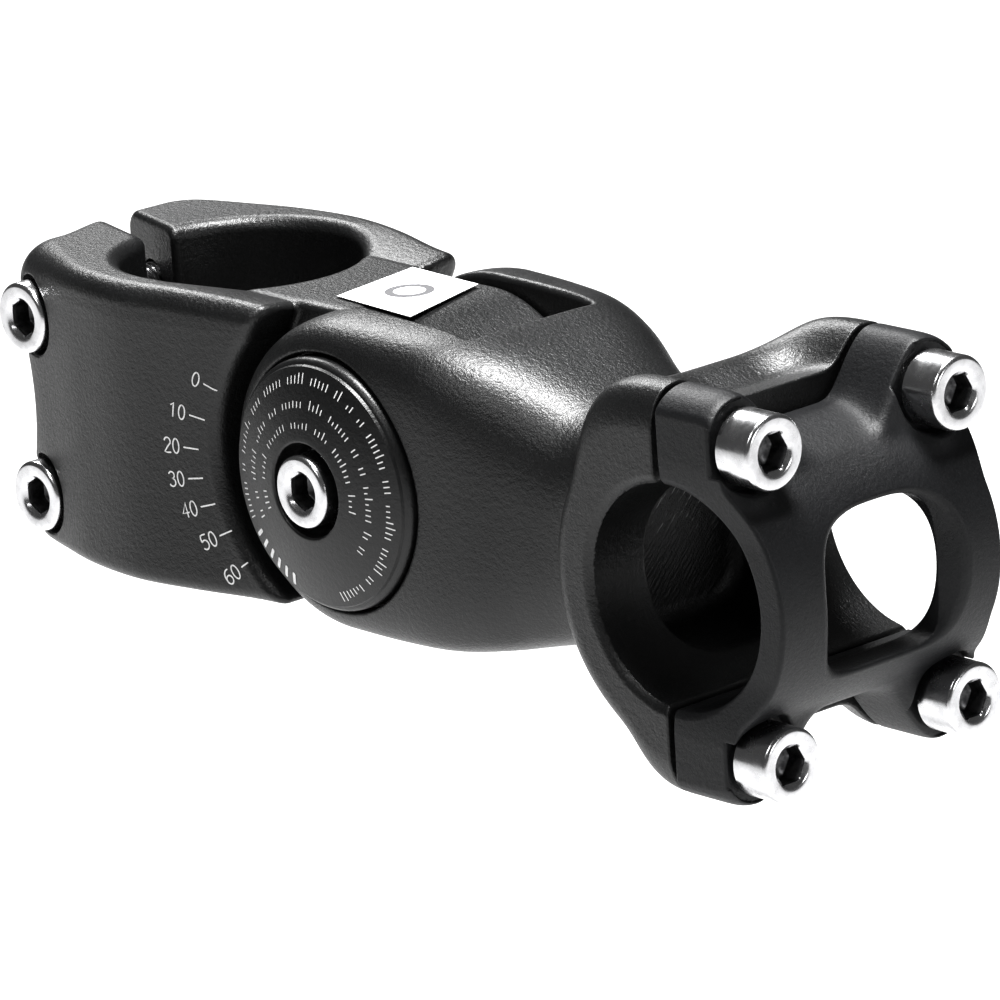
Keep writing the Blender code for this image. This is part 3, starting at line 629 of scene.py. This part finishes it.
def drill_marks_and_glare(look, tone, normal):
    """Slanting cutter marks in the recess behind the bore, with painted glare on them near its top."""
    x, y, z = look.axes()
    across = look.from_axis((BAR_X * MM, BAR_Z * MM))
    cut = look.times(
        look.ramp(look.from_axis((0, BAR_Z * MM), "YZ"), 10.0 * MM, 10.6 * MM, 1.0, 0.0),
        look.ramp(x, 70.0 * MM, 70.6 * MM),
        look.ramp(across, (BAR_R + 0.2) * MM, (BAR_R + 0.5) * MM),
        look.ramp(x, 81.5 * MM, 83.0 * MM, 1.0, 0.0),
    )
    level = look.math("ADD", x, y)
    slanted = look.tree.nodes.new("ShaderNodeCombineXYZ")
    look.put(slanted.inputs["X"], look.times(look.math("SUBTRACT", level, z), 2300.0))
    look.put(slanted.inputs["Y"], look.times(look.math("ADD", level, z), 260.0))
    marks = look.noise(1.0, 2.0, 0.6, slanted.outputs["Vector"])
    normal = look.bump(look.times(marks, cut), 0.15 * MM, 0.9, normal)
    # Painted highlight: light grey streaks in the base colour, strongest towards the top of the recess.
    glare = look.times(look.ramp(marks, 0.60, 0.70), cut, look.ramp(z, -6.0 * MM, -1.0 * MM))
    return look.mix(glare, tone, (0.45, 0.45, 0.45)), normal


def blasted(name, dark, light, rough, grain, bore_marks_and_glare=False, ior=1.55):
    """Bead-blasted and black-anodised aluminium; grain scales the depth of the blasting."""
    look = Look(name, light, rough, 0.0)
    look.shader.inputs["IOR"].default_value = ior
    fine = look.noise(4600, 2.0, 0.65)
    coarse = look.noise(1700, 2.0, 0.6)
    cloud = look.noise(75, 3.0, 0.5)
    glint = look.ramp(look.sparkle(4200), 0.0, 0.16, 1.0, 0.0)
    tone = look.mix(look.ramp(cloud, 0.3, 0.7), dark, light)
    tone = look.mix(look.times(glint, 0.5), tone, scaled(light, 6))
    tone = look.mix(look.ramp(fine, 0.25, 0.5, 0.35, 0.0), tone, scaled(dark, 0.3))
    wear = look.ramp(fine, 0.3, 0.7, rough - 0.05, rough + 0.07)
    roughness = look.math("ADD", wear, look.times(cloud, 0.06))
    normal = look.bump(coarse, 0.09 * MM * grain, 0.75)
    normal = look.bump(fine, 0.05 * MM * grain, 0.8, normal)
    # Turning marks in the bore and cutter marks in the recess, each with painted highlights.
    if bore_marks_and_glare:
        tone, normal = bore_marks_and_highlights(look, light, tone, normal)
        tone, normal = drill_marks_and_glare(look, tone, normal)
    return look.finish(tone, roughness, normal)


def bright_steel(name, tint, rough, top=None):
    """Plated steel with turning marks round local Z; a socket below the height top is dull, with painted
    shade darkening it.
    """
    look = Look(name, tint, rough, 1.0)
    rings = look.noise(1.0, 2.0, 0.5, look.stretched((400.0, 400.0, 7000.0)))
    smear = look.noise(420, 4.0, 0.6)
    dust = look.noise(4200, 2.0, 0.6)
    tone = look.mix(look.ramp(smear, 0.35, 0.75), tint, scaled(tint, 0.8))
    roughness = look.ramp(smear, 0.3, 0.7, rough - 0.03, rough + 0.08)
    if top is not None:
        height = look.axes()[2]
        deep = look.ramp(height, (top - 1.3) * MM, (top - 0.35) * MM, 1.0, 0.0)
        near = look.ramp(look.from_axis((0, 0), "XY"), 2.32 * MM, 2.42 * MM, 1.0, 0.0)
        inside = look.times(deep, near)
        # Painted shade: the inside of the hex socket is darkened almost to black.
        socket_shade = look.ramp(look.noise(900, 3.0, 0.6), 0.3, 0.7, 0.72, 0.95)
        tone = look.mix(look.times(inside, socket_shade), tone, (0.02, 0.02, 0.022))
        roughness = look.math("ADD", roughness, look.times(inside, 0.15))
    roughness = look.math("ADD", roughness, look.times(dust, 0.05))
    normal = look.bump(rings, 0.008 * MM, 0.6)
    normal = look.bump(dust, 0.008 * MM, 0.5, normal)
    return look.finish(tone, roughness, normal)


def printed(name, colour):
    """Screen print: slightly speckled at the edges of the grain below it."""
    look = Look(name, colour, 0.5, 0.0)
    speck = look.noise(5200, 3.0, 0.6)
    tone = look.mix(look.ramp(speck, 0.56, 0.72, 0.0, 0.55), colour, scaled(colour, 0.45))
    return look.finish(tone, look.ramp(speck, 0.3, 0.7, 0.42, 0.62), look.bump(speck, 0.02 * MM, 0.5))


def label_look():
    """White foil label."""
    look = Look("label_foil", (0.9, 0.9, 0.9), 0.35, 0.0)
    weave = look.noise(3500, 2.0, 0.5)
    smear = look.noise(160, 3.0, 0.5)
    tone = look.mix(look.ramp(smear, 0.3, 0.7), (0.86, 0.86, 0.86), (0.74, 0.74, 0.75))
    return look.finish(tone, look.ramp(weave, 0.3, 0.7, 0.30, 0.42), look.bump(weave, 0.01 * MM, 0.5))


body_black = blasted("blasted_black", (0.006, 0.0062, 0.0064), (0.011, 0.0113, 0.0116), 0.34, 1.15, True)
plate_black = blasted("plate_black", (0.006, 0.0063, 0.0072), (0.010, 0.0105, 0.0118), 0.46, 0.8, True, 1.45)
cap_black = blasted("cap_black", (0.005, 0.0052, 0.0055), (0.009, 0.0092, 0.0095), 0.34, 0.6)
chrome = bright_steel("bright_plating", (0.70, 0.70, 0.71), 0.19, HEAD_H)
nut_chrome = bright_steel("bright_plating_nut", (0.70, 0.70, 0.71), 0.19, BOLT_FACE)
zinc = bright_steel("zinc_plating", (0.60, 0.60, 0.61), 0.30)
ink = printed("white_print", (0.80, 0.80, 0.80))
ink_grey = printed("grey_print", (0.10, 0.10, 0.105))


def dress(obj, material, body, slot, *stands_for):
    obj.data.materials.clear()
    obj.data.materials.append(material)
    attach(obj, body)
    if stands_for:
        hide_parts(*stands_for)
    return obj


# Forgings

clamp = forging("steerer_clamp_forging", steerer_clamp, (-29, -21.5, -19), (53, 21.5, 21))
dress(clamp, body_black, "rear_clamp", "anodised_black", "steerer_clamp")
arm = forging("tilt_arm_forging", tilt_arm, (14, -20.5, -28), (91, 20.5, 22.5))
dress(arm, body_black, "arm", "anodised_black", "tilt_arm")
plate = forging("faceplate_forging", faceplate, (89, -20, -28), (109, 20, 22.5), STEP * 0.8)
dress(plate, plate_black, "arm", "anodised_black", "faceplate")


# Screws


def hexagon(flat):
    """Radius of a hex socket with slightly rounded corners, as a function of the angle."""

    def radius(angle):
        corner = (angle + math.pi / 6) % (math.pi / 3) - math.pi / 6
        return flat / math.cos(corner) - HEX_ROUNDING * (abs(corner) / (math.pi / 6)) ** 8

    return radius


def socket_head(top):
    """Loops from the rim of a screw head's top down its hex socket."""
    profile = round_corner((HEAD_R - HEAD_EDGE, top - HEAD_EDGE), HEAD_EDGE, 0, 90, 8)
    profile += [(3.0, top), (2.62, top - 0.06), (2.46, top - 0.16)]
    profile += [(hexagon(HEX_FLAT + 0.02), top - 0.5), (hexagon(HEX_FLAT), top - 0.6)]
    profile += [(hexagon(HEX_FLAT), top - HEX_DEEP), (hexagon(HEX_FLAT - 0.1), top - HEX_DEEP - 0.1)]
    profile += [(1.2, top - HEX_DEEP - 0.35)]
    return [loop_of(r, h) for r, h in profile] + [[(0, 0, top - HEX_DEEP - 0.7)]]


def thread_loops(low, high):
    """A helical thread from low up to high, fading out at both ends."""
    rows = int((high - low) / PITCH * 8)
    loops = []
    for k in range(rows + 1):
        height = low + (high - low) * k / rows
        fade = min((height - low) / PITCH, (high - height) / PITCH, 1.0)
        loop = []
        for i in range(SIDES):
            angle = 2 * math.pi * i / SIDES
            wave = abs(((height / PITCH - i / SIDES) % 1.0) * 2 - 1)
            radius = THREAD_R - THREAD_DEEP * wave * fade - (1 - fade) * 0.1
            loop.append((radius * math.cos(angle), radius * math.sin(angle), height))
        loops.append(loop)
    return loops


def stand(obj, place, axis):
    """Turn local +Z to an axis, with the origin at a place in millimetres."""
    turn = Vector((0, 0, 1)).rotation_difference(Vector(axis)).to_matrix().to_4x4()
    obj.matrix_world = Matrix.Translation(Vector(place) * MM) @ turn
    return obj


def screw(name, length, plain, place, axis, body, node):
    """A socket head screw whose head sits on local Z = 0, with a plain neck above its thread."""
    loops = [[(0, 0, -length)], loop_of(THREAD_R - 0.6, -length)]
    loops += thread_loops(-length + 0.3, -plain)
    profile = [(THREAD_R, -plain + 0.2), (THREAD_R, -0.15), (THREAD_R + 0.15, 0.0)]
    profile += [(HEAD_R - 0.15, 0.0), (HEAD_R, 0.15)]
    loops += [loop_of(r, h) for r, h in profile] + socket_head(HEAD_H)
    obj = stand(skin(name, loops, 28), place, axis)
    return dress(obj, chrome, body, "bright_screw", node)


for level, z in (("upper", LUG_Z), ("lower", -LUG_Z)):
    for side, y in (("right", -LUG_Y), ("left", LUG_Y)):
        tag = level + "_" + side
        place = (BAR_X + SEAT_X + 0.7, y, BAR_Z + z)
        name, body, node = "face_screw_turned_" + tag, "face_screw_" + tag, "faceplate_bolt_" + tag
        screw(name, 14.9, 5.0, place, (1, 0, 0), body, node)
for tag, z in (("upper", PINCH_Z), ("lower", -PINCH_Z)):
    place = (PINCH_X, -PINCH_SEAT - 0.1, z)
    name, body, node = "pinch_screw_turned_" + tag, "pinch_screw_" + tag, "pinch_bolt_" + tag
    screw(name, 23.8, 6.0, place, (0, -1, 0), body, node)
place = (PIVOT_X, HEAD_H - BOLT_FACE, 0)
screw("pivot_screw_turned", 28.8, 8.0, place, (0, -1, 0), "pivot_screw", "pivot_bolt")


# Caps, nut and washers, turned about the pivot


def about_pivot(obj, side):
    """Local +Z becomes the outward direction of that side."""
    return stand(obj, (PIVOT_X, 0, 0), (0, side, 0))


def cap_height(radius):
    """Height of the cap's dome above the middle of the stem at a radius."""
    low = CAP_EDGE + CAP_STEP
    fall = (radius**2 - CAP_BORE**2) / (CAP_R**2 - CAP_BORE**2)
    return low + (CAP_RIM - low) * (1 - np.clip(fall, 0, 1))


def pivot_cap(tag, side):
    floor = CAP_POCKET_Y + SEAT_GAP
    profile = [(HOLE_R, floor), (CAP_R - 0.2, floor), (CAP_R, floor + 0.2), (CAP_R, CAP_EDGE - 0.5)]
    profile += round_corner((CAP_R - 1.0, CAP_EDGE - 0.25), 1.0, 0, 70, 8)
    outer = profile[-1][0]
    for radius in np.linspace(outer - 0.15, CAP_BORE + 0.35, 24):
        profile.append((radius, cap_height(radius)))
    profile += round_corner((CAP_BORE + 0.3, profile[-1][1] - 0.3), 0.3, 90, 180, 5)
    # Down to the washer's seat, and into the cross bolt's hole
    profile += [(CAP_BORE, CAP_FLOOR + 0.15), (CAP_BORE - 0.15, CAP_FLOOR)]
    profile += [(HOLE_R + 0.15, CAP_FLOOR), (HOLE_R, CAP_FLOOR - 0.15)]
    obj = about_pivot(turned("pivot_cap_turned_" + tag, profile, 160), side)
    return dress(obj, cap_black, "arm", "cap_black", "pivot_cap_" + tag)


def pivot_nut():
    under = BOLT_FACE - HEAD_H
    profile = [(1.9, NUT_START), (NUT_R - 0.05, NUT_START), (NUT_R, NUT_START + 0.1), (NUT_R, under)]
    profile += [(HEAD_R - 0.15, under), (HEAD_R, under + 0.15)]
    loops = [[(0, 0, NUT_START)]] + [loop_of(r, h) for r, h in profile] + socket_head(BOLT_FACE)
    obj = about_pivot(skin("pivot_nut_turned", loops, 28), 1)
    return dress(obj, nut_chrome, "arm", "bright_screw", "pivot_nut")


def pivot_washer(tag, side):
    low, high = WASHER_LOW, WASHER_HIGH
    profile = [(2.9, low), (4.8, low), (4.9, low + 0.1)]
    profile += [(4.9, high - 0.12), (4.78, high), (3.0, high), (2.9, high - 0.1)]
    obj = about_pivot(turned("pivot_washer_turned_" + tag, profile), side)
    return dress(obj, zinc, "arm", "zinc_steel", "pivot_washer_" + tag)


for tag, side in (("right", -1), ("left", 1)):
    pivot_cap(tag, side)
    pivot_washer(tag, side)
pivot_nut()

# The hidden pieces keep their CAD shapes
for node in ("pivot_sleeve", "tongue_ring_right", "tongue_ring_left", "fork_ring_right", "fork_ring_left"):
    mesh = frame["nodes"][node].data
    mesh.materials.clear()
    mesh.materials.append(zinc)


# Print


def stroke(points, width):
    """A ribbon of quads along points in the plane, with half-round ends, as (corners, faces)."""
    points = np.array(points, float)
    ways = np.gradient(points, axis=0)
    ways /= np.maximum(np.linalg.norm(ways, axis=1), 1e-9)[:, None]
    cap = width * 0.35
    points = np.vstack([points[0] - ways[0] * cap, points, points[-1] + ways[-1] * cap])
    ways = np.vstack([ways[0], ways, ways[-1]])
    half = np.full(len(points), width / 2)
    half[0] = half[-1] = width * 0.28
    normal = np.stack([-ways[:, 1], ways[:, 0]], axis=1)
    corners = np.vstack([points + normal * half[:, None], points - normal * half[:, None]])
    count = len(points)
    faces = [(i, i + 1, count + i + 1, count + i) for i in range(count - 1)]
    return corners, faces


class Print:
    """Strokes in the plane, gathered into one mesh."""

    def __init__(self):
        self.corners, self.faces, self.total = [], [], 0

    def add(self, points, width):
        corners, quads = stroke(points, width)
        self.corners.append(corners)
        self.faces.extend(tuple(i + self.total for i in quad) for quad in quads)
        self.total += len(corners)

    def flat(self):
        return np.vstack(self.corners)


def arc_points(cx, cy, rx, ry, start, end, steps=14):
    angles = np.radians(np.linspace(start, end, steps))
    return np.stack([cx + rx * np.cos(angles), cy + ry * np.sin(angles)], axis=1)


# Strokes of the numerals, in a box one high and 0.6 wide, from its lower left corner
DIGITS = {
    "0": arc_points(0.3, 0.5, 0.25, 0.5, 90, 450, 26),
    "1": [(0.1, 0.78), (0.3, 1.0), (0.3, 0.0)],
    "2": [*arc_points(0.3, 0.74, 0.25, 0.26, 170, -30), (0.05, 0.0), (0.56, 0.0)],
    "3": [
        *arc_points(0.28, 0.76, 0.23, 0.24, 150, -80),
        *arc_points(0.28, 0.27, 0.26, 0.27, 80, -150),
    ],
    "4": [(0.42, 0.0), (0.42, 1.0), (0.03, 0.3), (0.57, 0.3)],
    "5": [(0.52, 1.0), (0.12, 1.0), (0.08, 0.56), *arc_points(0.29, 0.32, 0.27, 0.32, 120, -140)],
    "6": [*arc_points(0.45, 0.55, 0.4, 0.45, 80, 180), *arc_points(0.3, 0.3, 0.25, 0.3, 180, 540, 22)],
}


def wall_depth(x, z):
    """y of the clamp's right wall at each x, z."""
    outer, inner = np.full(len(x), -24.0), np.full(len(x), -12.0)
    for _ in range(26):
        middle = (outer + inner) / 2
        solid = steerer_clamp(x, middle, z) < 0
        inner, outer = np.where(solid, middle, inner), np.where(solid, outer, middle)
    return inner


def angle_scale():
    """Numerals and marks from 0 to 60 round the pivot, printed on the clamp's right wall."""
    # Angle round the pivot, and radius of the mark's outer end
    marks = [(21.3, 22.9), (10.2, 24.2), (0.6, 25.1), (-8.0, 25.0)]
    marks += [(-16.1, 24.1), (-25.5, 22.9), (-36.8, 22.1)]
    line, high, space = 0.2, 1.75, 1.25  # width of the line, height and spacing of the numerals
    centre = np.array((PIVOT_X, 0.0))
    ink_lines = Print()
    for index, (degrees, start) in enumerate(marks):
        angle = math.radians(degrees)
        out = np.array((-math.cos(angle), math.sin(angle)))
        inner = max(start - 2.1, RELIEF_R + 0.9)
        ink_lines.add([centre + out * r for r in np.linspace(inner, start, 5)], line)
        # The numerals read towards the pivot
        text = str(index * 10)
        up, across = np.array((out[1], -out[0])), -out
        middle = centre + out * (start + 0.55 + space * len(text) / 2)
        for place, figure in enumerate(text):
            corner = middle + across * ((place - len(text) / 2) * space + 0.1) - up * high / 2
            shape = np.array(DIGITS[figure])
            shape = catmull(shape, 2) if len(shape) > 5 else shape
            ink_lines.add(corner + across * (shape[:, :1] * high) + up * (shape[:, 1:] * high), line)
    flat = ink_lines.flat()
    y = wall_depth(flat[:, 0], flat[:, 1]) - 0.03
    points = np.stack([flat[:, 0], y, flat[:, 1]], axis=1)
    obj = mesh_object("angle_scale_print", points, ink_lines.faces)
    return dress(obj, ink, "rear_clamp", "anodised_black")


def cap_marks(tag, side):
    """Three arcs of plain printed marks round each cap, and a row of bold ones at its foot."""
    rng = np.random.default_rng(7)
    dashes = Print()
    # Radius, first and last angle, and height of the marks
    for radius, start, end, tall in ((12.6, 205, -62, 1.15), (9.9, 208, -45, 1.0), (7.6, 205, -12, 0.95)):
        angle = start
        inner = radius - tall * 0.35
        while angle > end:
            for _ in range(int(rng.integers(2, 8))):
                height = tall * float(rng.choice([0.35, 0.6, 0.6, 0.95, 0.7]))
                a = math.radians(angle)
                way = np.array((math.cos(a), math.sin(a)))
                dashes.add([way * (inner + height * t) for t in np.linspace(0, 1, 4)], 0.17)
                angle -= math.degrees(0.66 / radius)
            angle -= math.degrees(0.9 / radius)
    for k in range(6):
        a = math.radians(214 + k * 6.5)
        way = np.array((math.cos(a), math.sin(a)))
        dashes.add([way * r for r in np.linspace(12.0, 13.4, 5)], 0.5)
    flat = dashes.flat()
    y = side * (cap_height(np.hypot(flat[:, 0], flat[:, 1])) + 0.035)
    points = np.stack([PIVOT_X - side * flat[:, 0], y, flat[:, 1]], axis=1)
    faces = [quad[::-1] for quad in dashes.faces] if side > 0 else dashes.faces
    obj = mesh_object("cap_print_" + tag, points, faces)
    return dress(obj, ink, "arm", "cap_black")


def top_label():
    """A thin slanted label on the tongue's flat top."""
    corners = np.array([(23.7, -5.7), (38.0, -7.1), (33.6, 7.3), (21.2, 8.2)])
    middle = corners.mean(axis=0)
    low, high, steps = TONGUE_TOP + 0.01, TONGUE_TOP + 0.07, 10
    loops = [[(*middle, low)]]
    for level in (low, high):
        loop = []
        for a, b in zip(corners, np.roll(corners, -1, axis=0)):
            for t in np.arange(steps) / steps:
                loop.append((*(a + (b - a) * t), level))
        loops.append(loop)
    loops.append([(*middle, high)])
    dress(skin("tongue_label", loops), label_look(), "rear_clamp", "anodised_black")
    inner, outer, low, high = 1.9, 2.9, TONGUE_TOP + 0.05, TONGUE_TOP + 0.09
    ring = turned("label_ring", [(inner, low), (outer, low), (outer, high), (inner, high)])
    ring.location = Vector((*middle, 0)) * MM
    return dress(ring, ink_grey, "rear_clamp", "anodised_black")


angle_scale()
cap_marks("right", -1)
cap_marks("left", 1)
top_label()


# Studio


def toward(azimuth, elevation):
    """Unit vector at an azimuth from -Y round to +X, and at an elevation, both in radians."""
    level = math.cos(elevation)
    return Vector((math.sin(azimuth) * level, -math.cos(azimuth) * level, math.sin(elevation)))


def studio():
    """A plain pale floor, a dim white room and four soft square lights."""
    low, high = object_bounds()
    centre = (low + high) / 2
    ground = Look("studio_floor", (0.35, 0.35, 0.35), 0.9, 0.0)
    fleck = ground.noise(40, 3.0, 0.5)
    ground.shader.inputs["Emission Color"].default_value = (1, 1, 1, 1)
    ground.shader.inputs["Emission Strength"].default_value = 0.85
    tone = ground.mix(fleck, (0.34, 0.34, 0.34), (0.36, 0.36, 0.36))
    ground.finish(tone, 0.9, ground.bump(fleck, 0.2 * MM, 0.2))
    half, drop = 3.0, 0.085  # metres; the floor lies well below the stem
    corners = [(-half, -half, 0), (half, -half, 0), (half, half, 0), (-half, half, 0)]
    mesh = bpy.data.meshes.new("floor")
    mesh.from_pydata(corners, [], [(0, 1, 2, 3)])
    mesh.materials.append(ground.material)
    floor = bpy.data.objects.new("floor", mesh)
    floor.location = (centre.x, centre.y, low.z - drop)
    bpy.context.scene.collection.objects.link(floor)
    floor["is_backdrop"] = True

    world = bpy.data.worlds.new("studio")
    world.use_nodes = True
    room = world.node_tree.nodes["Background"]
    room.inputs["Color"].default_value = (1.0, 1.0, 1.0, 1)
    room.inputs["Strength"].default_value = 0.10
    bpy.context.scene.world = world

    # Name, azimuth and elevation of the light, distance and size in metres, watts
    lights = [
        ("top", 150, 84, 0.60, 0.22, 11.0),
        ("key", 15, 48, 0.70, 0.22, 1.0),
        ("front", 95, 12, 0.80, 0.20, 0.8),
        ("back", 244, 38, 0.80, 0.24, 3.6),
    ]
    for name, azimuth, elevation, distance, size, power in lights:
        way = toward(math.radians(azimuth), math.radians(elevation))
        data = bpy.data.lights.new(name, "AREA")
        data.shape = "SQUARE"
        data.size = size
        data.energy = power
        lamp = bpy.data.objects.new(name, data)
        lamp.location = centre + way * distance
        lamp.rotation_euler = way.to_track_quat("Z", "Y").to_euler()
        bpy.context.scene.collection.objects.link(lamp)


def camera():
    """A long lens from the front right, a little above the stem."""
    azimuth, elevation, roll = (math.radians(v) for v in (48.78, 16.2, -3.84))
    back = toward(azimuth, elevation)
    right = Vector((math.cos(azimuth), math.sin(azimuth), 0))
    up = back.cross(right)
    turned_right = right * math.cos(roll) + up * math.sin(roll)
    turned_up = up * math.cos(roll) - right * math.sin(roll)
    data = bpy.data.cameras.new("camera")
    data.sensor_width = 36.0
    data.lens = 258.573
    data.clip_start = 0.01
    lens = bpy.data.objects.new("camera", data)
    columns = Matrix((turned_right, turned_up, back)).transposed().to_4x4()
    lens.matrix_world = Matrix.Translation((0.63496, -0.51844, 0.22398)) @ columns
    bpy.context.scene.collection.objects.link(lens)
    bpy.context.scene.camera = lens


studio()
camera()
bpy.context.scene.view_settings.view_transform = "Standard"
bpy.context.scene.view_settings.gamma = 0.82
bpy.context.view_layer.update()
